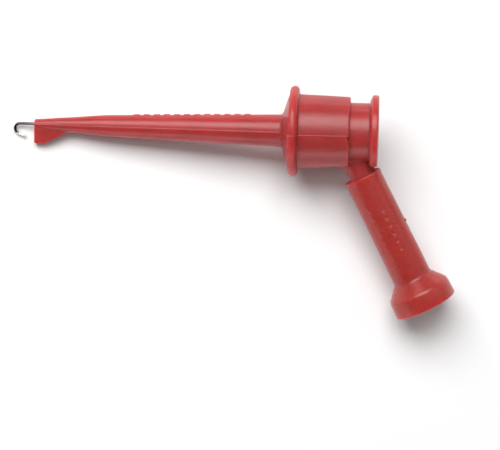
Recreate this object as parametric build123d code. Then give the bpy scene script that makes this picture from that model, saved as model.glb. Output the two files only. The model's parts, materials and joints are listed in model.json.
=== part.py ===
"""Mini hook test clip: a spring plunger in a finger-grip barrel pushes a wire hook out of a long nose.

Millimetres. The clip is drawn in its own frame: X runs from the nose's tip face (X = 0) back along the
nose and barrel to the thumb cap, the side arm leaves towards -Y in the XY plane, and the clip is
mirror-symmetric about that plane. At the end every piece is turned into the pose in which the clip lies
on a table, on its flange, the boot's bell and the fin under its tip, with Z up and the origin under the
middle of its bounding box.
"""

from build123d import *
import os
from math import cos, radians, sin, tan

# Nose: two straight tapers that meet at a knee, then a cone up to the flange
TIP_R = 0.72
KNEE_X, KNEE_R = 11.5, 1.68
ROOT_X, ROOT_R = 38.7, 2.52
CONE_X, CONE_R = 39.1, 2.8
NOSE_EDGE = 0.12

# Fin under the nose's tip, which the hook closes against
FIN_DEPTH = 2.95
FIN_FLAT = 1.7
FIN_END_X = 6.4
FIN_THICK = 1.3

# Finger flange and barrel
FLANGE_X, FLANGE_THICK, FLANGE_R = 40.12, 1.42, 7.03
FLANGE_ROUND = 0.68
FLANGE_FOOT_R = 5.9
BARREL_END_X = 49.5
BARREL_R, BARREL_REAR_R = 5.75, 5.5
BARREL_EDGE = 0.2
SLOT_FRONT_X, SLOT_HALF_WIDTH = 44.6, 2.3

# Bores of the housing: wire guide at the tip, wire bore, spring bore, plunger chamber and its rear lip
GUIDE_R, GUIDE_LENGTH = 0.27, 3.0
WIRE_BORE_R = 0.42
SPRING_BORE_R, SPRING_SEAT_X = 1.75, 32.5
CHAMBER_R, CHAMBER_X = 5.0, 41.4
LIP_R, LIP_LENGTH = 4.69, 0.8

# Plunger
STROKE = 3.0
STEM_R = 4.62
STEM_FRONT_X, STEM_FRONT_R = 45.3, 4.2
COLLAR_R, COLLAR_LENGTH, COLLAR_GAP = 4.92, 1.1, 0.02
WEB = 0.7
PLUNGER_BORE_R = 0.3
POCKET_R = 2.2

# Side arm: its axis crosses the clip's axis at ARM_X, and S is the distance along it from there
ARM_X, ARM_ANGLE = 48.07, 62.4
NECK_R, NECK_BORE_R = 2.0, 1.0
NECK_START_S, NECK_END_S = 2.0, 15.0

# Thumb cap: a flange with a bevelled underside, and a spigot with a finger that holds the wire anchor
CAP_GAP = 0.05
CAP_THICK, CAP_R, CAP_FOOT_R, CAP_BEVEL = 1.35, 5.87, 5.1, 0.35
CAP_EDGE = 0.3
CAP_FLAT_Y = -4.8
SPIGOT_R, SPIGOT_LENGTH = 2.18, 2.3
FINGER_INNER_Y = 0.5

# Strain-relief boot
BOOT_START_S, BOOT_END_S = 7.62, 30.4
BOOT_RIM_R, BOOT_WAIST_R, BOOT_ROOT_R = 2.98, 2.92, 3.04
BOOT_RIM_S, BOOT_SHOULDER_S = 8.2, 25.5
SHOULDER_FILLET = 0.9
BELL_S, BELL_R, BELL_END_R = 27.7, 4.9, 5.0
BOOT_POCKET_R, BOOT_POCKET_END_S = 2.04, 18.4
LEAD_BORE_R, LEAD_BORE_END_S = 1.4, 27.4
BELL_MOUTH_R = 3.1
BELL_EDGE = 0.3
BELL_ROUND = 0.8
BOOT_CLEARANCE = 0.1

# Hook wire: the hook opens towards the fin
WIRE_R = 0.22
HOOK_SHANK_X = -2.37
HOOK_BEND_R, HOOK_TURN = 0.78, 162.0
HOOK_LEG = 1.2
TAIL_BEND_R, TAIL_END_S = 1.2, 13.5

# Small metal parts
ANCHOR_R, ANCHOR_LENGTH = 1.2, 1.1
CRIMP_GAP = 0.02
CUP_START_S, CUP_END_S = 12.0, 18.0
CUP_R, CUP_BORE_R = 0.95, 0.7
CUP_COLLAR_R, CUP_COLLAR_LENGTH = 1.5, 0.3
WASHER_R, WASHER_HOLE_R, WASHER_THICK = 2.1, 0.5, 0.3
SPRING_R, SPRING_WIRE_R, SPRING_TURNS = 1.42, 0.15, 14

# How the clip lies on a table: nose down by REST_PITCH, and rolled so that the arm reaches the table
REST_PITCH, REST_ROLL = 8.15, 10.9

CAP_X = BARREL_END_X + STROKE + CAP_GAP
LIP_X = BARREL_END_X - LIP_LENGTH
WASHER_X = STEM_FRONT_X - WASHER_THICK
POCKET_X = STEM_FRONT_X + WEB
ANCHOR_END_X = POCKET_X + ANCHOR_LENGTH
ARM_DIRECTION = Vector(cos(radians(ARM_ANGLE)), -sin(radians(ARM_ANGLE)), 0)
ARM_PLANE = Plane(origin=(ARM_X, 0, 0), x_dir=(0, 0, 1), z_dir=ARM_DIRECTION)


def turned(outline):
    """The solid swept by a closed outline of (x, radius) points turned about the clip's axis."""
    return revolve(make_face(Polyline(*outline, close=True)), Axis.X)


def rod(x_start, x_end, radius):
    """A round bar along the clip's axis."""
    plane = Plane(origin=(x_start, 0, 0), z_dir=(1, 0, 0))
    return extrude(plane * Circle(radius), x_end - x_start)


def arm_rod(s_start, s_end, radius):
    """A round bar along the arm's axis."""
    return extrude(ARM_PLANE.offset(s_start) * Circle(radius), s_end - s_start)


def arm_turned(outline):
    """The solid swept by a closed outline of (radius, s) points turned about the arm's axis."""
    sideways = ARM_DIRECTION.cross(Vector(0, 0, -1))
    section = Plane(origin=(ARM_X, 0, 0), x_dir=(0, 0, 1), z_dir=sideways)
    face = section * make_face(Polyline(*outline, close=True))
    return revolve(face, Axis((ARM_X, 0, 0), ARM_DIRECTION))


def circles(solid, radius):
    """The circular edges of a solid with this radius."""
    return [e for e in solid.edges().filter_by(GeomType.CIRCLE) if abs(e.radius - radius) < 0.001]


def arm_point(s):
    """The point on the arm's axis at distance s from the clip's axis."""
    return Vector(ARM_X, 0, 0) + ARM_DIRECTION * s


def nose_fin():
    """The flat fin under the tip: level for a short way, then sloping up into the tube."""
    outline = [(0, 0), (0, -FIN_DEPTH), (FIN_FLAT, -FIN_DEPTH), (FIN_END_X, -TIP_R), (FIN_END_X, 0)]
    plate = extrude(make_face(Polyline(*outline, close=True)), FIN_THICK / 2, both=True)
    lower_edges = [e for e in plate.edges() if e.length > FIN_THICK + 0.1 and e.center().Y < -FIN_DEPTH / 2 - 0.1]
    return fillet(lower_edges, NOSE_EDGE)


def nose_housing():
    shell = turned(
        [
            (0, 0),
            (0, TIP_R),
            (KNEE_X, KNEE_R),
            (ROOT_X, ROOT_R),
            (CONE_X, CONE_R),
            (FLANGE_X, FLANGE_FOOT_R),
            (FLANGE_X, FLANGE_R),
            (FLANGE_X + FLANGE_THICK, FLANGE_R),
            (FLANGE_X + FLANGE_THICK, BARREL_R),
            (BARREL_END_X, BARREL_REAR_R),
            (BARREL_END_X, 0),
        ]
    )
    shell = fillet(circles(shell, FLANGE_R), FLANGE_ROUND)
    shell = fillet(circles(shell, BARREL_REAR_R), BARREL_EDGE)
    shell += nose_fin()
    shell -= rod(-1, GUIDE_LENGTH, GUIDE_R)
    shell -= rod(GUIDE_LENGTH, SPRING_SEAT_X, WIRE_BORE_R)
    shell -= rod(SPRING_SEAT_X, CHAMBER_X, SPRING_BORE_R)
    shell -= rod(CHAMBER_X, LIP_X, CHAMBER_R)
    shell -= rod(LIP_X, BARREL_END_X + 1, LIP_R)
    return shell - arm_slot()


def arm_slot():
    """The slot in the barrel's side, open to the rear, in which the arm's neck travels."""
    round_end_x = SLOT_FRONT_X + SLOT_HALF_WIDTH
    length = BARREL_END_X + 1 - round_end_x
    side = Plane(origin=(round_end_x, 0, 0), x_dir=(1, 0, 0), z_dir=(0, -1, 0))
    outline = Circle(SLOT_HALF_WIDTH) + Pos(length / 2, 0) * Rectangle(length, 2 * SLOT_HALF_WIDTH)
    return extrude(side * outline, BARREL_R + 1)


def plunger():
    collar_end = LIP_X - COLLAR_GAP
    collar_start = collar_end - COLLAR_LENGTH
    stem = turned(
        [
            (STEM_FRONT_X, 0),
            (STEM_FRONT_X, STEM_FRONT_R),
            (collar_start, STEM_FRONT_R),
            (collar_start, COLLAR_R),
            (collar_end, COLLAR_R),
            (collar_end, STEM_R),
            (CAP_X, STEM_R),
            (CAP_X, 0),
        ]
    )
    stem += arm_rod(NECK_START_S, NECK_END_S, NECK_R)
    stem -= rod(STEM_FRONT_X - 1, POCKET_X, PLUNGER_BORE_R)
    stem -= rod(POCKET_X, CAP_X + 1, POCKET_R)
    return stem - arm_rod(0, NECK_END_S + 1, NECK_BORE_R)


def thumb_cap():
    disc = turned(
        [
            (CAP_X, 0),
            (CAP_X, CAP_FOOT_R),
            (CAP_X + CAP_BEVEL, CAP_R),
            (CAP_X + CAP_THICK, CAP_R),
            (CAP_X + CAP_THICK, 0),
        ]
    )
    rear_edge = disc.edges().filter_by(GeomType.CIRCLE).sort_by(Axis.X)[-1]
    disc = fillet(rear_edge, CAP_EDGE)
    spigot = rod(CAP_X - SPIGOT_LENGTH, CAP_X, SPIGOT_R)
    finger = rod(ANCHOR_END_X, CAP_X, SPIGOT_R)
    finger -= Pos(ANCHOR_END_X, FINGER_INNER_Y - 5, 0) * Box(20, 10, 10)
    flat = Pos(CAP_X, CAP_FLAT_Y - 5, 0) * Box(10, 10, 20)
    cap = disc + spigot + finger - flat
    cap -= arm_rod(NECK_START_S, NECK_END_S, NECK_R + CRIMP_GAP)
    return cap - arm_rod(BOOT_START_S - BOOT_CLEARANCE, BOOT_SHOULDER_S, BOOT_RIM_R + BOOT_CLEARANCE)


def strain_relief_boot():
    sleeve = arm_turned(
        [
            (0, BOOT_START_S),
            (BOOT_RIM_R - 0.15, BOOT_START_S),
            (BOOT_RIM_R, BOOT_START_S + 0.15),
            (BOOT_WAIST_R, BOOT_RIM_S),
            (BOOT_ROOT_R, BOOT_SHOULDER_S),
            (BELL_R, BELL_S),
            (BELL_END_R, BOOT_END_S),
            (0, BOOT_END_S),
        ]
    )
    sleeve = fillet(circles(sleeve, BELL_END_R), BELL_EDGE)
    sleeve = fillet(circles(sleeve, BELL_R), BELL_ROUND)
    sleeve = fillet(circles(sleeve, BOOT_ROOT_R), SHOULDER_FILLET)
    sleeve -= arm_rod(BOOT_START_S - 1, BOOT_POCKET_END_S, BOOT_POCKET_R)
    sleeve -= arm_rod(BOOT_POCKET_END_S, LEAD_BORE_END_S, LEAD_BORE_R)
    mouth = arm_turned(
        [
            (0, LEAD_BORE_END_S),
            (LEAD_BORE_R, LEAD_BORE_END_S),
            (BELL_MOUTH_R, BOOT_END_S),
            (BELL_MOUTH_R, BOOT_END_S + 1),
            (0, BOOT_END_S + 1),
        ]
    )
    return sleeve - mouth


def hook_wire():
    """One wire: return leg, hook bend, straight shank through the nose, bend into the arm, tail."""
    shank_start = Vector(HOOK_SHANK_X, 0, 0)
    bend_centre = shank_start - Vector(0, HOOK_BEND_R, 0)
    bend_side = Vector(-sin(radians(HOOK_TURN)), cos(radians(HOOK_TURN)), 0)
    bend_middle = Vector(-sin(radians(HOOK_TURN / 2)), cos(radians(HOOK_TURN / 2)), 0)
    leg_start = bend_centre + bend_side * HOOK_BEND_R
    leg_direction = Vector(-cos(radians(HOOK_TURN)), -sin(radians(HOOK_TURN)), 0)
    leg_tip = leg_start + leg_direction * HOOK_LEG
    setback = TAIL_BEND_R * tan(radians(ARM_ANGLE / 2))
    shank_end = Vector(ARM_X - setback, 0, 0)
    route = Wire(
        [
            Edge.make_line(leg_tip, leg_start),
            Edge.make_three_point_arc(leg_start, bend_centre + bend_middle * HOOK_BEND_R, shank_start),
            Edge.make_line(shank_start, shank_end),
            Edge.make_tangent_arc(shank_end, Vector(1, 0, 0), arm_point(setback)),
            Edge.make_line(arm_point(setback), arm_point(TAIL_END_S)),
        ]
    )
    return sweep(Plane(origin=leg_tip, z_dir=-leg_direction) * Circle(WIRE_R), path=route)


def wire_anchor():
    body = rod(POCKET_X, ANCHOR_END_X, ANCHOR_R)
    return body - rod(POCKET_X - 1, ANCHOR_END_X + 1, WIRE_R + CRIMP_GAP)


def solder_cup():
    cup = arm_rod(CUP_START_S, CUP_END_S, CUP_R)
    cup += arm_rod(NECK_END_S, NECK_END_S + CUP_COLLAR_LENGTH, CUP_COLLAR_R)
    cup -= arm_rod(CUP_START_S - 1, TAIL_END_S, WIRE_R + CRIMP_GAP)
    return cup - arm_rod(TAIL_END_S, CUP_END_S + 1, CUP_BORE_R)


def spring_washer():
    return rod(WASHER_X, STEM_FRONT_X, WASHER_R) - rod(WASHER_X - 1, STEM_FRONT_X + 1, WASHER_HOLE_R)


def return_spring():
    length = WASHER_X - SPRING_SEAT_X - 2 * SPRING_WIRE_R
    coil = Helix(pitch=length / SPRING_TURNS, height=length, radius=SPRING_R)
    spring = sweep(Plane(coil @ 0, z_dir=coil % 0) * Circle(SPRING_WIRE_R), path=coil)
    along_clip = Plane(origin=(SPRING_SEAT_X + SPRING_WIRE_R, 0, 0), x_dir=(0, 1, 0), z_dir=(1, 0, 0))
    return along_clip.location * spring


def lying_down(pieces):
    """Turns the clip into its lying pose and puts the origin under the middle of its bounding box."""
    turn = Rot(Y=-REST_PITCH) * Rot(X=REST_ROLL)
    box = Compound(children=[turn * piece for piece in pieces.values()]).bounding_box()
    middle = box.center()
    shift = Pos(-middle.X, -middle.Y, -box.min.Z)
    return {name: shift * turn * piece for name, piece in pieces.items()}


PIECES = {
    "nose_housing": nose_housing(),
    "plunger": plunger(),
    "thumb_cap": thumb_cap(),
    "strain_relief_boot": strain_relief_boot(),
    "hook_wire": hook_wire(),
    "wire_anchor": wire_anchor(),
    "solder_cup": solder_cup(),
    "spring_washer": spring_washer(),
    "return_spring": return_spring(),
}

os.makedirs("parts", exist_ok=True)
for name, piece in lying_down(PIECES).items():
    export_step(piece, f"parts/{name}.step")
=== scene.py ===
"""Looks of the mini hook test clip: red moulded shells, a wire hook, and a white table under soft light.

Pieces are built in the clip's own frame, in millimetres: X runs from the nose's tip face to the thumb
cap, the side arm leaves towards -Y, and Z is across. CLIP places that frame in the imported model's frame.
"""

import json
from math import acos, asin, cos, degrees, exp, hypot, pi, radians, sin, sqrt, tan

import bmesh
import bpy
from mathutils import Matrix, Vector, noise


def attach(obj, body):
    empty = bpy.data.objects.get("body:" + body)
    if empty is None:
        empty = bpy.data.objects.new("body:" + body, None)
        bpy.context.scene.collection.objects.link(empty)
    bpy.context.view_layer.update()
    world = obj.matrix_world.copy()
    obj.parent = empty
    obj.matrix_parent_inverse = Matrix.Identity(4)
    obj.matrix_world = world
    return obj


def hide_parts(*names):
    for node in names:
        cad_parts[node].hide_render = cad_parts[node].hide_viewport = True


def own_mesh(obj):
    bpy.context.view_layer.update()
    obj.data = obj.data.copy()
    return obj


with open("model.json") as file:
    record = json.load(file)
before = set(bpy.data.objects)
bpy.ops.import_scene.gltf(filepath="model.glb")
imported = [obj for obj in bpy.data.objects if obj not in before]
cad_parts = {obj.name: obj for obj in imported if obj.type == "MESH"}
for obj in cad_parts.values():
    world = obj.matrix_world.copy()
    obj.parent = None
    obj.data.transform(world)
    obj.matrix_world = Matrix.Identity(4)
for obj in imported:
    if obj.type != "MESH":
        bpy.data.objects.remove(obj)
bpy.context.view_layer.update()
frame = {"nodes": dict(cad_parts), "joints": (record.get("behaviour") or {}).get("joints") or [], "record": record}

MM = 0.001

# Nose
TIP_R = 0.72
KNEE_X, KNEE_R = 11.5, 1.68
ROOT_X, ROOT_R = 38.7, 2.52
CONE_X, CONE_R = 39.1, 2.8
TIP_EDGE = 0.1
FIN_DEPTH, FIN_FLAT, FIN_END_X, FIN_HALF = 2.95, 1.7, 6.4, 0.65
FIN_CORNER, FIN_FILLET = 0.1, 0.12

# Flange and barrel
FLANGE_X, FLANGE_THICK, FLANGE_R, FLANGE_ROUND, FLANGE_FOOT_R = 40.12, 1.42, 7.03, 0.68, 5.9
BARREL_END_X, BARREL_R, BARREL_REAR_R, BARREL_EDGE = 49.5, 5.75, 5.5, 0.2
SLOT_FRONT_X, SLOT_HALF, SLOT_EDGE = 44.6, 2.3, 0.16
GUIDE_R, GUIDE_LENGTH, WIRE_BORE_R = 0.27, 3.0, 0.42
SPRING_BORE_R, SPRING_SEAT_X = 1.75, 32.5
CHAMBER_R, CHAMBER_X, LIP_R, LIP_LENGTH = 5.0, 41.4, 4.69, 0.8

# Plunger and thumb cap
STEM_R, STEM_FRONT_X, STEM_FRONT_R = 4.62, 45.3, 4.2
COLLAR_R, COLLAR_LENGTH, COLLAR_GAP = 4.92, 1.1, 0.02
WEB, PLUNGER_BORE_R, POCKET_R = 0.7, 0.3, 2.2
CAP_X, CAP_THICK, CAP_R, CAP_FOOT_R, CAP_BEVEL, CAP_EDGE = 52.55, 1.35, 5.87, 5.1, 0.35, 0.3
CAP_FLAT_Y, SPIGOT_R, SPIGOT_LENGTH = -4.8, 2.18, 2.3

# Side arm: S runs along its axis from the clip's axis
ARM_X = 48.07
NECK_R, NECK_BORE_R, NECK_START_S, NECK_END_S, NECK_FILLET = 2.0, 1.0, 3.4, 15.0, 0.4
NECK_WEB, NECK_WEB_LENGTH, NECK_COLUMNS = 0.7, 1.8, 96
BOOT_START_S, BOOT_RIM_S, BOOT_SHOULDER_S, BELL_S, BOOT_END_S = 7.62, 8.2, 25.5, 27.7, 30.4
BOOT_RIM_R, BOOT_WAIST_R, BOOT_ROOT_R, BELL_R, BELL_END_R = 2.98, 2.92, 3.04, 4.9, 5.0
BOOT_POCKET_R, BOOT_POCKET_END_S, LEAD_BORE_R, LEAD_BORE_END_S, BELL_MOUTH_R = 2.04, 18.4, 1.4, 27.4, 3.1
BOOT_CLEARANCE = 0.1

# Wire and spring
WIRE_R, HOOK_SHANK_X, HOOK_BEND_R, HOOK_TURN, HOOK_LEG = 0.22, -2.37, 0.78, 162.0, 1.2
TAIL_BEND_R, TAIL_END_S = 1.2, 13.5
SPRING_R, SPRING_WIRE_R, SPRING_TURNS, SPRING_DEAD_TURNS = 1.42, 0.15, 14, 1.5
WASHER_THICK = 0.3
# Y levels in mm over which the wire's colour turns near-white, a painted highlight on the hook's return leg
PAINTED_HIGHLIGHT_Y = (-1.42, -1.56)

# Moulding marks
PARTING_HEIGHT, PARTING_WIDTH, MISMATCH = 0.03, 0.05, 0.05
FLANGE_SHIFT = 0.1
MOUTH_NOTCH, MOUTH_NOTCH_WIDTH, MOUTH_NOTCH_LENGTH, MOUTH_NOTCH_EDGE = 0.24, 1.1, 0.7, 0.12
DASH_FIRST_X, DASH_COUNT, DASH_PITCH, DASH_LENGTH, DASH_HALF, DASH_HEIGHT = 15.6, 12, 1.58, 1.05, 0.42, 0.13
DASH_SLOPE = 0.09


def clip_frame():
    """The clip frame's matrix, read from the plunger's axis and the boot's bore, and the arm's angle."""
    record = frame["record"]
    along = -Vector(frame["joints"][0]["axis"]).normalized()
    lead = next(m for m in record["mounts"] if m["name"] == "lead_entry")
    arm = Vector(lead["axis"]).normalized()
    angle = acos(along.dot(arm))
    across = (along * cos(angle) - arm) / sin(angle)
    up = along.cross(across)
    bore_middle = (BOOT_POCKET_END_S + LEAD_BORE_END_S) / 2
    origin = Vector(lead["pos_m"]) - arm * bore_middle * MM - along * ARM_X * MM
    matrix = Matrix.Identity(4)
    for column, vector in enumerate((along * MM, across * MM, up * MM, origin)):
        for row in range(3):
            matrix[row][column] = vector[row]
    return matrix, angle


CLIP, ARM_ANGLE = clip_frame()
ARM = Vector((cos(ARM_ANGLE), -sin(ARM_ANGLE), 0))
ARM_SIDE = Vector((sin(ARM_ANGLE), cos(ARM_ANGLE), 0))
UP = Vector((0, 0, 1))


def smoothstep(low, high, value):
    t = min(1.0, max(0.0, (value - low) / (high - low)))
    return t * t * (3 - 2 * t)


def spread(start, end, count):
    """Evenly spaced values from start to end, both included."""
    return [start + (end - start) * i / (count - 1) for i in range(count)]


def arc(centre, radius, start, end, count):
    """Points on a circle's arc, as (x, y), with the angles in degrees."""
    turns = [radians(a) for a in spread(start, end, count)]
    return [(centre[0] + radius * cos(a), centre[1] + radius * sin(a)) for a in turns]


def unevenness(point, size, height):
    """A slight moulding shrinkage: smooth noise with features of the given size."""
    return height * noise.noise(Vector(point) / size)


# ---------------------------------------------------------------- mesh helpers


def make_piece(name, verts, faces, sharp_angle=32):
    """An object in the clip frame with outward faces, smooth except along sharp edges."""
    mesh = bpy.data.meshes.new(name)
    mesh.from_pydata([tuple(v) for v in verts], [], faces)
    piece = bpy.data.objects.new(name, mesh)
    bpy.context.scene.collection.objects.link(piece)
    finish_mesh(piece, sharp_angle)
    piece.matrix_world = CLIP
    return piece


def finish_mesh(piece, sharp_angle):
    bm = bmesh.new()
    bm.from_mesh(piece.data)
    bmesh.ops.remove_doubles(bm, verts=bm.verts, dist=1e-4)
    bmesh.ops.recalc_face_normals(bm, faces=bm.faces)
    for face in bm.faces:
        face.smooth = True
    for edge in bm.edges:
        edge.smooth = edge.is_manifold and degrees(edge.calc_face_angle(0)) < sharp_angle
    bm.to_mesh(piece.data)
    bm.free()
    piece.data.update()


def joined_rings(rings, closed_ring=True, closed_loop=False):
    """Vertices and quads of a surface through rings of points with equal counts."""
    verts = [p for ring in rings for p in ring]
    count = len(rings[0])
    faces = []
    ring_pairs = len(rings) if closed_loop else len(rings) - 1
    for i in range(ring_pairs):
        for k in range(count if closed_ring else count - 1):
            a, b = i * count, ((i + 1) % len(rings)) * count
            faces.append((a + k, a + (k + 1) % count, b + (k + 1) % count, b + k))
    return verts, faces


def around_clip(x, radius, angle):
    """A point at this angle round the clip's axis, counted from the arm's side."""
    return Vector((x, -radius * cos(angle), radius * sin(angle)))


def around_arm(s, radius, angle):
    """A point at this angle round the arm's axis, counted from +Z towards the cap's side."""
    centre = Vector((ARM_X, 0, 0)) + ARM * s
    return centre + (UP * cos(angle) + ARM_SIDE * sin(angle)) * radius


def spun(name, profile, place, segments=96, closed=True, sharp_angle=32):
    """A solid of revolution from (station, radius) points. place is around_clip or around_arm."""
    turns = [2 * pi * k / segments for k in range(segments)]
    rings = [[place(station, radius, a) for a in turns] for station, radius in profile]
    verts, faces = joined_rings(rings, closed_loop=closed)
    if not closed:
        faces.append(tuple(range(segments)))
        last = (len(rings) - 1) * segments
        faces.append(tuple(range(last, last + segments)))
    return make_piece(name, verts, faces, sharp_angle)


def combine(piece, other, operation):
    """Adds other to piece or cuts it away, and removes other."""
    change = piece.modifiers.new("combine", "BOOLEAN")
    change.operation = operation
    change.solver = "EXACT"
    change.object = other
    bpy.context.view_layer.update()
    graph = bpy.context.evaluated_depsgraph_get()
    result = bpy.data.meshes.new_from_object(piece.evaluated_get(graph))
    piece.modifiers.remove(change)
    piece.data = result
    bpy.data.objects.remove(other)


def place_piece(piece, body, slot, *nodes):
    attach(piece, body)
    if nodes:
        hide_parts(*nodes)
    return piece


# ---------------------------------------------------------------- nose housing


def half_columns():
    """The columns of half the housing, as (zone, share of the zone, arc length in mm)."""
    beside_slot = [("lower", 0, a) for a in (0, 0.04, 0.08, 0.12, 0.17)]
    near_slot = (4.5, 6.5, 8.5, 10, 11.5, 13, 15, 17.5, 20, 23, 26.5, 30, 34, 38.5, 43.5, 49)
    lower = [("lower", share / 90, 0) for share in near_slot + (55, 61, 67, 73, 79, 84)]
    parting = [("upper", 0, a) for a in (-0.14, -0.09, -0.05, -0.02, 0.02, 0.05, 0.09, 0.14)]
    upper = [("upper", share / 90, 0) for share in (6, 11, 17, 23, 29, 35, 41, 47, 53, 58)]
    crown = [("crown", 0, a) for a in (0.72, 0.6, 0.5, 0.45, 0.4, 0.34, 0.22, 0.1, 0)]
    return beside_slot + lower + parting + upper + crown


COLUMNS = half_columns()


def column_angle(column, slot_angle, radius):
    """The column's angle round the axis, where 0 is the arm's side and pi the crown."""
    zone, share, length = column
    turn = length / max(radius, 1.0) * min(1.0, radius / 2)
    if zone == "lower":
        return slot_angle + (pi / 2 - slot_angle) * share + turn * min(1.0, radius / 3)
    if zone == "upper":
        return pi / 2 * (1 + share) + turn
    return pi - length / max(radius, 1.6)


def slot_half_width(x):
    """Half the width of the arm's slot, which has a round front end."""
    centre = SLOT_FRONT_X + SLOT_HALF
    if x <= SLOT_FRONT_X:
        return 0.0
    if x >= centre:
        return SLOT_HALF
    return sqrt(SLOT_HALF**2 - (centre - x) ** 2)


def fin_reach(x, angle):
    """How far the fin's rounded outline reaches from the axis at this angle."""
    slope_end = TIP_R - 0.15
    down_slope = max(0.0, (x - FIN_FLAT) / (FIN_END_X - FIN_FLAT))
    depth = FIN_DEPTH + (slope_end - FIN_DEPTH) * down_slope
    if cos(angle) <= 0.02 or depth <= slope_end:
        return 0.0
    side, bottom = FIN_HALF / max(sin(angle), 1e-4), depth / cos(angle)
    gap = side - bottom
    return min(side, bottom) - FIN_CORNER * exp(-abs(gap) / (2 * FIN_CORNER)) * 0.5


def blended(a, b, width):
    """The larger of two radii, with a soft fillet where they meet."""
    h = max(width - abs(a - b), 0.0) / width
    return max(a, b) + h * h * width / 4


def dash_height(x, arc_from_crown):
    """Raised plain dashes in a row along the nose's back."""
    end = DASH_FIRST_X + DASH_COUNT * DASH_PITCH
    if not DASH_FIRST_X - 0.1 <= x <= end:
        return 0.0
    along = (x - DASH_FIRST_X) % DASH_PITCH
    ends = smoothstep(0, DASH_SLOPE, along) * (1 - smoothstep(DASH_LENGTH - DASH_SLOPE, DASH_LENGTH, along))
    return DASH_HEIGHT * ends * (1 - smoothstep(DASH_HALF - DASH_SLOPE, DASH_HALF, arc_from_crown))


def mouth_notch(x, radius, angle):
    """How far the barrel's mouth is notched just beside the parting line."""
    below_parting = (pi / 2 - angle) * radius
    across = smoothstep(0, MOUTH_NOTCH_EDGE, below_parting)
    across *= 1 - smoothstep(MOUTH_NOTCH_WIDTH - MOUTH_NOTCH_EDGE, MOUTH_NOTCH_WIDTH, below_parting)
    return MOUTH_NOTCH * across * smoothstep(BARREL_END_X - MOUTH_NOTCH_LENGTH, BARREL_END_X, x)


def housing_point(x, radius, angle, outside):
    """A point of the housing. The outside adds the fin, the slot's edge, moulding marks and dashes."""
    x -= mouth_notch(x, radius, angle)
    if not outside:
        return around_clip(x, radius, angle)
    if x < FIN_END_X:
        radius = blended(radius, fin_reach(x, angle), FIN_FILLET)
    reach = radius
    slot_centre = SLOT_FRONT_X + SLOT_HALF
    across = radius * sin(angle)
    if x > SLOT_FRONT_X - 1 and cos(angle) > 0:
        from_slot = (hypot(x - slot_centre, across) if x < slot_centre else across) - SLOT_HALF
        inset = SLOT_EDGE - max(0.0, min(SLOT_EDGE, from_slot))
        reach -= SLOT_EDGE - sqrt(SLOT_EDGE**2 - inset**2)
    from_parting = (angle - pi / 2) * radius
    behind_flange = FLANGE_X + FLANGE_THICK + 0.26
    on_flange = smoothstep(CONE_X - 0.1, CONE_X + 0.3, x)
    on_flange *= 1 - smoothstep(behind_flange, behind_flange + 0.4, x)
    height = PARTING_HEIGHT * (1 + 2 * on_flange) * (1 + 0.5 * noise.noise((x * 0.8, 0, 3)))
    reach += height * exp(-((from_parting / PARTING_WIDTH) ** 2))
    arm_half = 1 - smoothstep(-0.05, 0.05, from_parting)
    reach += MISMATCH * min(1.0, radius / 4) * arm_half
    reach += dash_height(x, (pi - angle) * radius)
    reach += unevenness((x, across, angle), 5.0, 0.02)
    return around_clip(x - FLANGE_SHIFT * on_flange * arm_half, reach, angle)


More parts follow.
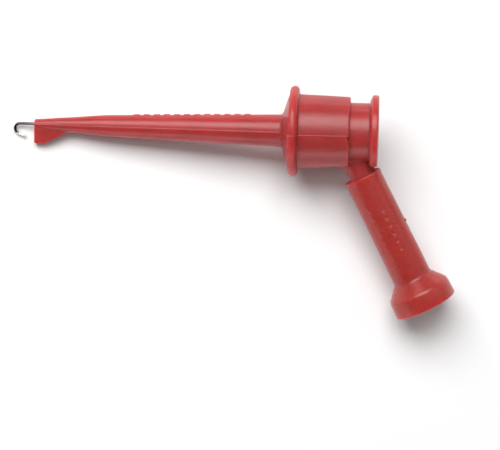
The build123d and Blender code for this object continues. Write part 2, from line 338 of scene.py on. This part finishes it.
def housing_profile():
    """The housing's closed outline as (x, radius, outside), from the tip's bore out, back and inside."""
    nose_x = spread(0.3, 7.4, 26) + spread(7.9, 15.2, 14) + spread(DASH_FIRST_X - 0.12, 34.9, 178)
    nose_x += spread(35.4, ROOT_X, 7)
    outline = [(0, GUIDE_R + 0.02, False), (0, GUIDE_R + 0.12, False)]
    outline += [(0, TIP_R - TIP_EDGE, True)]
    for a in (0.5, 1.0, pi / 2):
        outline.append((TIP_EDGE * (1 - cos(a)), TIP_R - TIP_EDGE * (1 - sin(a)), True))
    for x in nose_x:
        if x < KNEE_X:
            outline.append((x, TIP_R + (KNEE_R - TIP_R) * x / KNEE_X, True))
        else:
            outline.append((x, KNEE_R + (ROOT_R - KNEE_R) * (x - KNEE_X) / (ROOT_X - KNEE_X), True))
    cone = [(ROOT_X + 0.15, ROOT_R + 0.05), (CONE_X - 0.08, CONE_R - 0.05), (CONE_X + 0.08, CONE_R + 0.28)]
    cone += [(CONE_X + 0.25 + 0.45 * t, CONE_R + 0.85 + 1.4 * t) for t in (0, 0.33, 0.67, 1)]
    cone += [(FLANGE_X - 0.14, FLANGE_FOOT_R - 0.35), (FLANGE_X - 0.02, FLANGE_FOOT_R)]
    rim_r = FLANGE_R - FLANGE_ROUND
    front, back = FLANGE_X + FLANGE_ROUND, FLANGE_X + FLANGE_THICK - FLANGE_ROUND
    rim = [(FLANGE_X, rim_r - 0.2)] + arc((front, rim_r), FLANGE_ROUND, 180, 90, 9)
    rim += arc((back, rim_r), FLANGE_ROUND, 90, 0, 9)
    foot_x, foot_r = FLANGE_X + FLANGE_THICK, BARREL_R
    rim += [(foot_x, foot_r + 0.45)] + arc((foot_x + 0.25, foot_r + 0.25), 0.25, 180, 270, 5)
    barrel_x = spread(42.3, SLOT_FRONT_X - 0.5, 5) + [SLOT_FRONT_X - d for d in (0.3, 0.17, 0.1, 0.05)]
    slot_x = slot_stations()
    behind = [48.9, 49.1, BARREL_END_X - BARREL_EDGE]
    taper = (BARREL_REAR_R - BARREL_R) / (BARREL_END_X - foot_x)
    outline += [(x, r, True) for x, r in cone + rim]
    outline += [(x, BARREL_R + taper * (x - foot_x), True) for x in barrel_x + slot_x + behind]
    edge_centre = (BARREL_END_X - BARREL_EDGE, BARREL_REAR_R - BARREL_EDGE)
    outline += [(x, r, True) for x, r in arc(edge_centre, BARREL_EDGE, 70, 0, 5)]
    lip_front = BARREL_END_X - LIP_LENGTH
    outline += [(BARREL_END_X, LIP_R + 0.1, False), (BARREL_END_X - 0.1, LIP_R, False)]
    outline.append((lip_front, LIP_R, False))
    outline += [(x, CHAMBER_R, False) for x in reversed(slot_x)]
    outline += [(CHAMBER_X, CHAMBER_R, False), (CHAMBER_X, SPRING_BORE_R, False)]
    outline += [(SPRING_SEAT_X, SPRING_BORE_R, False), (SPRING_SEAT_X, WIRE_BORE_R, False)]
    outline += [(GUIDE_LENGTH, WIRE_BORE_R, False), (GUIDE_LENGTH, GUIDE_R, False), (0.05, GUIDE_R, False)]
    return outline


def slot_stations():
    """X of the rows that both the barrel's outside and its chamber have along the slot."""
    centre = SLOT_FRONT_X + SLOT_HALF
    around = [centre - SLOT_HALF * cos(radians(a)) for a in (0, 6, 12, 18, 25, 33, 42, 52, 63, 76, 90)]
    return around + [47.5, 48.1, BARREL_END_X - LIP_LENGTH]


def housing_row(x, radius, outside, verts):
    """Adds one row of vertices and returns their indices, from one side of the slot round to the other."""
    width = slot_half_width(x)
    inner_reach = radius - SLOT_EDGE if outside else radius
    slot_angle = asin(width / inner_reach) if width else 0.0
    start = len(verts)
    sides = [column_angle(c, slot_angle, radius) for c in COLUMNS]
    verts += [housing_point(x, radius, a, outside) for a in sides]
    mirrored = sides[-2::-1] if width else sides[-2:0:-1]
    for angle in mirrored:
        point = housing_point(x, radius, angle, outside)
        verts.append(Vector((point.x, point.y, -point.z)))
    row = list(range(start, len(verts)))
    return row if width else row + [start]


def nose_housing():
    """The red shell from the nose's tip to the barrel's mouth, with its bores, chamber and slot."""
    outline = housing_profile()
    verts, faces = [], []
    rows = [housing_row(x, r, outside, verts) for x, r, outside in outline]
    for i, row in enumerate(rows):
        following = rows[(i + 1) % len(rows)]
        faces += [(row[k], row[k + 1], following[k + 1], following[k]) for k in range(len(row) - 1)]
    faces += slot_walls(outline, rows)
    return make_piece("nose_housing_shell", verts, faces, 40)


def slot_walls(outline, rows):
    """The slot's two walls, between the barrel's outside and its chamber."""
    stations = slot_stations()
    first_outer = next(i for i, (x, r, out) in enumerate(outline) if out and abs(x - SLOT_FRONT_X) < 1e-6)
    last_outer = first_outer + len(stations) - 1
    lip_row = next(i for i, (x, r, out) in enumerate(outline) if not out and r == LIP_R and x < 49)
    first_inner = lip_row + 1
    faces = []
    for side in (0, -1):
        for n in range(len(stations) - 1):
            outer, inner = first_outer + n, first_inner + len(stations) - 1 - n
            corners = (rows[outer][side], rows[outer + 1][side], rows[inner - 1][side], rows[inner][side])
            faces.append(tuple(dict.fromkeys(corners)))
        faces.append(tuple(rows[i][side] for i in range(last_outer, first_inner + 1)))
    return faces


# ---------------------------------------------------------------- plunger and cap


def plunger():
    """The stem with its stop collar and wire pocket, joined to the bored neck of the side arm."""
    collar_end = BARREL_END_X - LIP_LENGTH - COLLAR_GAP
    collar_start = collar_end - COLLAR_LENGTH
    pocket_x = STEM_FRONT_X + WEB
    profile = [
        (STEM_FRONT_X, PLUNGER_BORE_R),
        (STEM_FRONT_X, STEM_FRONT_R - 0.3),
        (STEM_FRONT_X + 0.3, STEM_FRONT_R),
        (collar_start - 0.1, STEM_FRONT_R),
        (collar_start, STEM_FRONT_R + 0.1),
        (collar_start, COLLAR_R - 0.1),
        (collar_start + 0.1, COLLAR_R),
        (collar_end - 0.05, COLLAR_R),
        (collar_end, COLLAR_R - 0.05),
        (collar_end, STEM_R),
        *((x, STEM_R) for x in spread(BARREL_END_X + 0.1, CAP_X - 0.95, 3)),
        (CAP_X, STEM_R),
        (CAP_X, POCKET_R),
        (pocket_x, POCKET_R),
        (pocket_x, PLUNGER_BORE_R),
    ]
    stem = spun("plunger_shell", profile, around_clip, 120)
    combine(stem, neck(), "UNION")
    bore_profile = [(2.5, NECK_BORE_R), (NECK_END_S + 1, NECK_BORE_R)]
    combine(stem, spun("bore", bore_profile, around_arm, 48, closed=False), "DIFFERENCE")
    finish_mesh(stem, 32)
    return stem


def neck():
    """The arm's neck, which flares into the stem with a small fillet and two webs along the clip."""
    turns = [2 * pi * k / NECK_COLUMNS for k in range(NECK_COLUMNS)]
    rings = []
    for s in spread(NECK_START_S, 7.4, 41) + [9, 12, NECK_END_S - 0.15]:
        ring = []
        for angle in turns:
            point = around_arm(s, NECK_R, angle)
            off_stem = hypot(point.y, point.z) - STEM_R
            near = NECK_FILLET - max(0.0, min(NECK_FILLET, off_stem))
            flare = NECK_FILLET - sqrt(NECK_FILLET**2 - near**2)
            along_clip = (point - around_arm(s, 0, 0)).dot(ARM_SIDE) / NECK_R
            web = NECK_WEB * along_clip**2 * (1 - smoothstep(0, NECK_WEB_LENGTH, off_stem))
            ring.append(around_arm(s, NECK_R + max(flare, web), angle))
        rings.append(ring)
    rings.append([around_arm(NECK_END_S, NECK_R - 0.15, angle) for angle in turns])
    verts, faces = joined_rings(rings)
    faces += [tuple(range(NECK_COLUMNS)), tuple(range(len(verts) - NECK_COLUMNS, len(verts)))]
    return make_piece("neck", verts, faces)


def thumb_cap():
    """The thumb flange with a dished rear, a flat towards the arm, and room for the neck and the boot."""
    rear = CAP_X + CAP_THICK
    front_edge = [(CAP_X, SPIGOT_R), (CAP_X, CAP_FOOT_R - 0.1)]
    bevel = [(CAP_X + 0.04, CAP_FOOT_R), (CAP_X + 0.18, CAP_FOOT_R + 0.35)]
    bevel.append((CAP_X + CAP_BEVEL - 0.04, CAP_R - 0.14))
    rim = arc((CAP_X + CAP_BEVEL + 0.18, CAP_R - 0.2), 0.2, 155, 90, 5)
    rim += arc((rear - CAP_EDGE, CAP_R - CAP_EDGE), CAP_EDGE, 90, 0, 8)
    dish = [(rear, 4.9), (rear - 0.02, 4.75), (rear - 0.1, 4.45), (rear - 0.16, 3.6), (rear - 0.2, 2.2)]
    mark = [(rear - 0.2, 1.35), (rear - 0.28, 1.3), (rear - 0.28, 0.5)]
    gate = [(rear - 0.26, 0.42), (rear - 0.12, 0.36), (rear - 0.1, 0.2), (rear - 0.1, 0.02)]
    front = CAP_X - SPIGOT_LENGTH
    profile = [(front, 0.02), (front, SPIGOT_R - 0.15), (front + 0.15, SPIGOT_R)]
    profile += front_edge + bevel + rim + dish + mark + gate
    cap = spun("thumb_cap_shell", profile, around_clip, 128, closed=False)
    flat = block("flat", (CAP_X - 1, CAP_FLAT_Y - 5, -8), (rear + 1, CAP_FLAT_Y, 8))
    combine(cap, flat, "DIFFERENCE")
    neck_room = [(NECK_START_S, NECK_R + 0.05), (NECK_END_S, NECK_R + 0.05)]
    combine(cap, spun("room", neck_room, around_arm, 64, closed=False), "DIFFERENCE")
    boot_r = BOOT_RIM_R + BOOT_CLEARANCE
    boot_room = [(BOOT_START_S - BOOT_CLEARANCE, boot_r), (BOOT_SHOULDER_S, boot_r)]
    combine(cap, spun("room", boot_room, around_arm, 64, closed=False), "DIFFERENCE")
    finish_mesh(cap, 28)
    return cap


def block(name, low, high):
    """A box between two corners, used to cut the cap's flat."""
    corners = [(x, y, z) for x in (low[0], high[0]) for y in (low[1], high[1]) for z in (low[2], high[2])]
    faces = [(0, 1, 3, 2), (4, 6, 7, 5), (0, 4, 5, 1), (2, 3, 7, 6), (0, 2, 6, 4), (1, 5, 7, 3)]
    return make_piece(name, corners, faces)


# ---------------------------------------------------------------- boot

# Each line of dashes: angle in degrees, first S, count
BOOT_LINES = ((-26, 12.2, 7), (13, 13.6, 6))
BOOT_DASH_PITCH, BOOT_DASH_LENGTH, BOOT_DASH_HALF, BOOT_DASH_HEIGHT = 1.32, 1.0, 0.42, 0.055
BOOT_DASH_SLOPE, BOOT_DASH_SIDE = 0.25, 0.22
BOOT_SEAM_HEIGHT, BOOT_SEAM_WIDTH = 0.02, 0.09
GATE_S, GATE_ANGLE, GATE_R, GATE_HEIGHT = 16.7, 84, 0.28, 0.2


def boot_relief(s, radius, angle):
    """Height of the boot's raised dashes and of the stub left by its gate."""
    height = 0.0
    for line_angle, first, count in BOOT_LINES:
        if first <= s <= first + count * BOOT_DASH_PITCH:
            along = (s - first) % BOOT_DASH_PITCH
            ends = smoothstep(0, BOOT_DASH_SLOPE, along)
            ends *= 1 - smoothstep(BOOT_DASH_LENGTH - BOOT_DASH_SLOPE, BOOT_DASH_LENGTH, along)
            across = abs(angle - radians(line_angle)) * radius
            sides = 1 - smoothstep(BOOT_DASH_HALF - BOOT_DASH_SIDE, BOOT_DASH_HALF, across)
            height += BOOT_DASH_HEIGHT * ends * sides
    off_gate = hypot(s - GATE_S, (angle - radians(GATE_ANGLE)) * radius)
    return height + GATE_HEIGHT * (1 - smoothstep(GATE_R * 0.6, GATE_R, off_gate))


def boot_angles():
    """Angles round the boot, closer together where the dashes and the gate stub are."""
    fine = spread(-40, 30, 71) + spread(74, 94, 21)
    coarse = [-40 + 5 * k for k in range(72)]
    free = [a for a in coarse if not (-40 <= a <= 30) and not (74 <= a <= 94)]
    return [radians(a) for a in sorted(fine + free)]


def boot_profile():
    """The boot's closed outline as (s, radius, outside)."""
    rim = [(BOOT_START_S, BOOT_POCKET_R + 0.1), (BOOT_START_S, BOOT_RIM_R - 0.2)]
    rim += arc((BOOT_START_S + 0.14, BOOT_RIM_R - 0.14), 0.14, 165, 90, 5)
    rim += [(BOOT_RIM_S - 0.1, BOOT_RIM_R - 0.01), (BOOT_RIM_S + 0.05, BOOT_RIM_R - 0.03)]
    rim.append((BOOT_RIM_S + 0.3, BOOT_WAIST_R))
    tube_s = spread(BOOT_RIM_S + 0.6, 24.9, 138)
    taper = (BOOT_ROOT_R - BOOT_WAIST_R) / (BOOT_SHOULDER_S - BOOT_RIM_S)
    tube = [(s, BOOT_WAIST_R + taper * (s - BOOT_RIM_S)) for s in tube_s]
    slope = 44
    fillet_r, round_r = 0.8, 0.9
    shoulder = arc((BOOT_SHOULDER_S - 0.3, BOOT_ROOT_R + fillet_r), fillet_r, 270, 270 + slope, 8)
    shoulder += arc((BELL_S + 0.3, BELL_R - round_r), round_r, 90 + slope, 92, 8)
    edge = 0.22
    bell = [(BELL_S + 0.6, BELL_R + 0.04), (BELL_S + 1.4, BELL_R + 0.07)]
    bell += arc((BOOT_END_S - edge, BELL_END_R - edge), edge, 90, 0, 6)
    mouth = [(BOOT_END_S, 4.1), (BOOT_END_S, BELL_MOUTH_R + 0.25)]
    mouth += arc((BOOT_END_S - 0.2, BELL_MOUTH_R + 0.2), 0.2, 330, 240, 4)
    mouth += [(28.6, 2.05), (LEAD_BORE_END_S, LEAD_BORE_R + 0.05)]
    inside = [(LEAD_BORE_END_S - 0.3, LEAD_BORE_R), (BOOT_POCKET_END_S, LEAD_BORE_R)]
    inside += [(BOOT_POCKET_END_S, BOOT_POCKET_R), (BOOT_START_S + 0.1, BOOT_POCKET_R)]
    outside = [(s, r, True) for s, r in rim + tube + shoulder + bell]
    return outside + [(s, r, False) for s, r in mouth + inside]


def strain_relief_boot():
    """The soft sleeve over the neck, with seams, dashes and a flared bell."""
    angles = boot_angles()
    rings = []
    for s, radius, outside in boot_profile():
        ring = []
        for angle in angles:
            reach = radius
            if outside:
                reach += boot_relief(s, radius, angle)
                reach += unevenness((s, 3 * cos(angle), 3 * sin(angle)), 4.0, 0.03)
                for seam in (radians(90), radians(270)):
                    reach += BOOT_SEAM_HEIGHT * exp(-(((angle - seam) * radius / BOOT_SEAM_WIDTH) ** 2))
            ring.append(around_arm(s, reach, angle))
        rings.append(ring)
    verts, faces = joined_rings(rings, closed_loop=True)
    return make_piece("strain_relief_boot_sleeve", verts, faces, 50)


# ---------------------------------------------------------------- wire and spring

# A wire's rounded end, as (distance past the end, radius) in wire radii
ROUNDED_END = ((0.35, 0.86), (0.5, 0.55))


def tube_along(name, path, radius, segments=20):
    """A round wire along a list of points, with rounded ends."""
    last = len(path) - 1
    turns = [2 * pi * k / segments for k in range(segments)]
    side = (path[1] - path[0]).orthogonal().normalized()
    rings = []
    for i, point in enumerate(path):
        tangent = (path[min(i + 1, last)] - path[max(i - 1, 0)]).normalized()
        side = (side - tangent * side.dot(tangent)).normalized()
        other = tangent.cross(side)
        spokes = [side * cos(a) + other * sin(a) for a in turns]
        ring = [point + spoke * radius for spoke in spokes]
        outward = tangent * radius * (1 if i == last else -1)
        rounded = []
        for past_end, share in ROUNDED_END:
            rounded.append([point + outward * past_end + spoke * radius * share for spoke in spokes])
        if i == 0:
            rings += rounded[::-1]
        rings.append(ring)
        if i == last:
            rings += rounded
    verts, faces = joined_rings(rings)
    faces += [tuple(range(segments)), tuple(range(len(verts) - segments, len(verts)))]
    return make_piece(name, verts, faces, 60)


def hook_route():
    """The hook wire's centre line: return leg, hook bend, shank, bend into the arm, and tail."""
    centre = Vector((HOOK_SHANK_X, -HOOK_BEND_R, 0))
    turn = radians(HOOK_TURN)
    leg_start = centre + Vector((-sin(turn), cos(turn), 0)) * HOOK_BEND_R
    leg_way = Vector((-cos(turn), -sin(turn), 0))
    route = [leg_start + leg_way * d for d in spread(HOOK_LEG - 0.1, 0.1, 6)]
    for a in spread(turn, 0, 25):
        route.append(centre + Vector((-sin(a), cos(a), 0)) * HOOK_BEND_R)
    setback = TAIL_BEND_R * tan(ARM_ANGLE / 2)
    bend_x = ARM_X - setback
    route += [Vector((x, 0, 0)) for x in spread(HOOK_SHANK_X + 0.3, bend_x - 0.3, 60)]
    for a in spread(0, ARM_ANGLE, 9):
        route.append(Vector((bend_x + TAIL_BEND_R * sin(a), -TAIL_BEND_R * (1 - cos(a)), 0)))
    route += [Vector((ARM_X, 0, 0)) + ARM * s for s in spread(setback + 0.4, TAIL_END_S, 12)]
    return route


def hook_wire():
    return tube_along("hook_wire_drawn", hook_route(), WIRE_R, 28)


def spring_route():
    """A coil with closed end turns."""
    start, end = SPRING_SEAT_X + SPRING_WIRE_R, STEM_FRONT_X - WASHER_THICK - SPRING_WIRE_R
    dead = 2 * SPRING_WIRE_R * SPRING_DEAD_TURNS
    turns = SPRING_TURNS + 2 * SPRING_DEAD_TURNS
    route = []
    for u in spread(0, turns, int(turns * 28)):
        if u < SPRING_DEAD_TURNS:
            x = start + dead * u / SPRING_DEAD_TURNS
        elif u > turns - SPRING_DEAD_TURNS:
            x = end - dead * (turns - u) / SPRING_DEAD_TURNS
        else:
            x = start + dead + (end - start - 2 * dead) * (u - SPRING_DEAD_TURNS) / SPRING_TURNS
        route.append(around_clip(x, SPRING_R, 2 * pi * u))
    return route


def return_spring():
    return tube_along("return_spring_coil", spring_route(), SPRING_WIRE_R, 12)


# ---------------------------------------------------------------- materials


class Shader:
    """A Principled material with short ways to add its texture nodes. Lengths are in millimetres."""

    def __init__(self, name, **settings):
        self.material = bpy.data.materials.new(name)
        self.material.use_nodes = True
        self.nodes = self.material.node_tree.nodes
        self.links = self.material.node_tree.links
        self.surface = self.nodes["Principled BSDF"]
        for socket, value in settings.items():
            self.surface.inputs[socket.replace("_", " ")].default_value = value

    def add(self, kind, inputs=(), **settings):
        node = self.nodes.new(kind)
        for key, value in settings.items():
            setattr(node, key, value)
        for socket, value in dict(inputs).items():
            if isinstance(value, bpy.types.NodeSocket):
                self.links.new(value, node.inputs[socket])
            else:
                node.inputs[socket].default_value = value
        return node

    def position(self, stretch=(1, 1, 1), unit=1.0):
        """Object coordinates in millimetres, stretched. unit is the object's length of one millimetre."""
        place = self.add("ShaderNodeTexCoord").outputs["Object"]
        scale = tuple(s / unit for s in stretch)
        return self.add("ShaderNodeMapping", {"Vector": place, "Scale": scale}).outputs["Vector"]

    def noise(self, place, scale, detail=3.0, roughness=0.55, distortion=0.0):
        inputs = {"Vector": place, "Scale": scale, "Detail": detail}
        inputs |= {"Roughness": roughness, "Distortion": distortion}
        return self.add("ShaderNodeTexNoise", inputs).outputs["Fac"]

    def ramp(self, value, low, high, from_value, to_value):
        inputs = {"Value": value, "From Min": low, "From Max": high}
        inputs |= {"To Min": from_value, "To Max": to_value}
        return self.add("ShaderNodeMapRange", inputs).outputs["Result"]

    def mix(self, share, first, second):
        inputs = {0: share, 6: first, 7: second}
        return self.add("ShaderNodeMix", inputs, data_type="RGBA").outputs[2]

    def edges(self, low, high):
        """1 on the outer edges and 0 on flat surfaces."""
        worn = self.add("ShaderNodeNewGeometry").outputs["Pointiness"]
        return self.ramp(worn, low, high, 0, 1)

    def bump(self, height, depth, below=None):
        """A bump whose height of 1 stands for this depth in millimetres."""
        inputs = {"Height": height, "Distance": depth * MM, "Strength": 1.0}
        if below is not None:
            inputs["Normal"] = below
        return self.add("ShaderNodeBump", inputs).outputs["Normal"]

    def connect(self, socket, output):
        self.links.new(output, self.surface.inputs[socket])


def red_plastic(name, colour, deep, worn, roughness, shine, grain=0.001):
    """Moulded red plastic: cloudy pigment, flow lines, a fine skin texture and paler worn edges."""
    m = Shader(name, Roughness=roughness, IOR=1.5, Subsurface_Weight=1.0, Subsurface_Scale=0.004)
    m.surface.inputs["Subsurface Radius"].default_value = (1.0, 0.15, 0.12)
    m.surface.inputs["Specular IOR Level"].default_value = shine
    place = m.position()
    flow = m.position((0.18, 1.0, 1.0))
    clouds = m.noise(place, 0.35, 4)
    streaks = m.noise(flow, 1.6, 5, 0.6, 0.4)
    tone = m.mix(m.ramp(clouds, 0.35, 0.68, 0, 1), colour, deep)
    streaked = m.mix(m.ramp(streaks, 0.45, 0.8, 0, 0.35), tone, worn)
    scuffs = m.noise(place, 2.4, 6, 0.7)
    edge = m.edges(0.52, 0.6)
    wear = {0: edge, 1: m.ramp(scuffs, 0.4, 0.65, 0.1, 0.75)}
    edge_worn = m.add("ShaderNodeMath", wear, operation="MULTIPLY")
    m.connect("Base Color", m.mix(edge_worn.outputs[0], streaked, worn))
    rough_low, rough_high = roughness - 0.06, roughness + 0.1
    m.connect("Roughness", m.ramp(scuffs, 0.3, 0.75, rough_low, rough_high))
    skin = m.noise(place, 5.0, 3, 0.5)
    m.connect("Normal", m.bump(skin, grain))
    return m.material


def steel(name, unit=1.0):
    """Drawn spring wire: dark oxide patches and fine lines, and a painted highlight: near-white colour wherever Y
    lies below a set level, which shows on the hook's return leg.
    """
    m = Shader(name, Metallic=1.0, Roughness=0.3)
    place = m.position(unit=unit)
    lines = m.noise(m.position((0.3, 6, 6), unit), 3.0, 4)
    patches = m.noise(place, 1.4, 4)
    drawn = m.mix(m.ramp(patches, 0.35, 0.65, 0, 1), (0.13, 0.12, 0.11, 1), (0.07, 0.065, 0.06, 1))
    across = m.add("ShaderNodeSeparateXYZ", {"Vector": place}).outputs["Y"]
    # Painted highlight: the colour goes near-white below these Y levels, on the hook's return leg
    painted_highlight = m.ramp(across, *PAINTED_HIGHLIGHT_Y, 0, 1)
    m.connect("Base Color", m.mix(painted_highlight, drawn, (0.95, 0.93, 0.9, 1)))
    m.connect("Roughness", m.ramp(lines, 0.3, 0.7, 0.14, 0.26))
    m.connect("Normal", m.bump(lines, 0.004))
    return m.material


def brass(name, unit=1.0):
    """Turned brass with a light tarnish."""
    m = Shader(name, Metallic=1.0, Roughness=0.32)
    tarnish = m.noise(m.position(unit=unit), 1.1, 5)
    turned_lines = m.noise(m.position((8, 1, 1), unit), 2.0, 3)
    colour = m.mix(m.ramp(tarnish, 0.4, 0.7, 0, 1), (0.8, 0.6, 0.28, 1), (0.5, 0.33, 0.15, 1))
    m.connect("Base Color", colour)
    m.connect("Roughness", m.ramp(turned_lines, 0.3, 0.7, 0.25, 0.45))
    m.connect("Normal", m.bump(turned_lines, 0.003))
    return m.material


def dress(piece, material):
    piece.data.materials.clear()
    piece.data.materials.append(material)


# ---------------------------------------------------------------- the clip

# Each red: the usual colour, its deeper clouds, and worn edges
NYLON_REDS = ((0.4, 0.04, 0.04, 1), (0.36, 0.035, 0.035, 1), (0.48, 0.075, 0.075, 1))
VINYL_REDS = ((0.38, 0.035, 0.028, 1), (0.35, 0.03, 0.024, 1), (0.46, 0.07, 0.055, 1))

nylon = red_plastic("red_nylon", *NYLON_REDS, roughness=0.31, shine=0.35)
cap_nylon = red_plastic("red_nylon_cap", *NYLON_REDS, roughness=0.31, shine=0.35)
vinyl = red_plastic("red_vinyl", *VINYL_REDS, roughness=0.3, shine=0.45)
wire_steel = steel("drawn_steel")
hidden_steel = steel("washer_steel", unit=MM)
hidden_brass = brass("turned_brass", unit=MM)

for piece, body, slot, node, material in (
    (nose_housing(), "housing", "red_nylon", "nose_housing", nylon),
    (plunger(), "plunger_group", "red_nylon", "plunger", nylon),
    (thumb_cap(), "plunger_group", "red_nylon", "thumb_cap", cap_nylon),
    (strain_relief_boot(), "plunger_group", "red_vinyl", "strain_relief_boot", vinyl),
    (hook_wire(), "plunger_group", "spring_steel", "hook_wire", wire_steel),
):
    dress(piece, material)
    place_piece(piece, body, slot, node)

spring = return_spring()
dress(spring, wire_steel)
place_piece(spring, "housing", "spring_steel", "return_spring")
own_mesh(spring)

dress(frame["nodes"]["spring_washer"], hidden_steel)
for node in ("wire_anchor", "solder_cup"):
    dress(frame["nodes"][node], hidden_brass)

# ---------------------------------------------------------------- table, light and camera


def table():
    """The white table top."""
    half = 1.5
    corners = [(-half, -half, 0), (half, -half, 0), (half, half, 0), (-half, half, 0)]
    mesh = bpy.data.meshes.new("table")
    mesh.from_pydata(corners, [], [(0, 1, 2, 3)])
    top = bpy.data.objects.new("table", mesh)
    bpy.context.scene.collection.objects.link(top)
    paint = Shader("white_table", Roughness=0.75)
    paint.surface.inputs["Base Color"].default_value = (0.88, 0.88, 0.88, 1)
    mesh.materials.append(paint.material)


def look_at(position, target, roll=0.0):
    """The matrix of a camera or lamp at position, facing target, with +Y up in the picture."""
    back = (Vector(position) - Vector(target)).normalized()
    right = Vector((0, 1, 0)).cross(back).normalized()
    up = back.cross(right)
    turned_right = right * cos(roll) + up * sin(roll)
    turned_up = up * cos(roll) - right * sin(roll)
    matrix = Matrix((turned_right, turned_up, back)).transposed().to_4x4()
    matrix.translation = Vector(position)
    return matrix


def softbox(name, position, target, width, height, brightness):
    """A rectangular lamp, in metres. brightness is the radiance of its face."""
    light = bpy.data.lights.new(name, "AREA")
    light.shape = "RECTANGLE"
    light.size, light.size_y = width, height
    light.energy = pi * width * height * brightness
    lamp = bpy.data.objects.new(name, light)
    bpy.context.scene.collection.objects.link(lamp)
    lamp.matrix_world = look_at(position, target)


def room(brightness, horizon, band):
    """Dim surroundings with pale walls up to a small height above and below the horizon."""
    world = bpy.data.worlds.new("room")
    world.use_nodes = True
    nodes, links = world.node_tree.nodes, world.node_tree.links
    height = nodes.new("ShaderNodeSeparateXYZ")
    links.new(nodes.new("ShaderNodeTexCoord").outputs["Generated"], height.inputs["Vector"])
    level = nodes.new("ShaderNodeMath")
    level.operation = "ABSOLUTE"
    links.new(height.outputs["Z"], level.inputs[0])
    walls = nodes.new("ShaderNodeMapRange")
    walls.interpolation_type = "SMOOTHSTEP"
    for socket, value in zip(("From Min", "From Max", "To Min", "To Max"), (*band, horizon, brightness)):
        walls.inputs[socket].default_value = value
    links.new(level.outputs["Value"], walls.inputs["Value"])
    backdrop = nodes["Background"]
    backdrop.inputs["Color"].default_value = (1, 1, 1, 1)
    links.new(walls.outputs["Result"], backdrop.inputs["Strength"])
    bpy.context.scene.world = world


CAMERA_AIM = Vector((2.48, -3.97, 6.0)) * MM
CAMERA_DISTANCE, CAMERA_LENS, CAMERA_ROLL = 0.2963, 137.0, radians(1.9)
LEAN_TO_NOSE, LEAN_TO_ARM = radians(3.8), radians(1.3)


def photographer():
    """The camera, almost straight above the clip, leaning a little towards the nose and the arm."""
    data = bpy.data.cameras.new("camera")
    data.lens = CAMERA_LENS
    data.clip_start = 0.01
    camera = bpy.data.objects.new("camera", data)
    bpy.context.scene.collection.objects.link(camera)
    way = Vector((-sin(LEAN_TO_NOSE), -sin(LEAN_TO_ARM), 1)).normalized()
    camera.matrix_world = look_at(CAMERA_AIM + way * CAMERA_DISTANCE, CAMERA_AIM, CAMERA_ROLL)
    bpy.context.scene.camera = camera


table()
room(0.03, 0.8, (0.1, 0.16))
softbox("softbox", (-0.18, 0.42, 0.66), (0, 0, 0), 0.75, 0.52, 6.3)
softbox("ceiling", (-0.1, 0.3, 0.85), (0, 0, 0), 1.2, 0.8, 0.9)
softbox("side_card", (0.7, 0.35, 0.6), (0, 0, 0), 0.5, 0.5, 1)
softbox("low_card", (0, -0.9, 0.18), (0, 0, 0), 2.0, 0.22, 3.2)
photographer()
bpy.context.scene.view_settings.view_transform = "Standard"
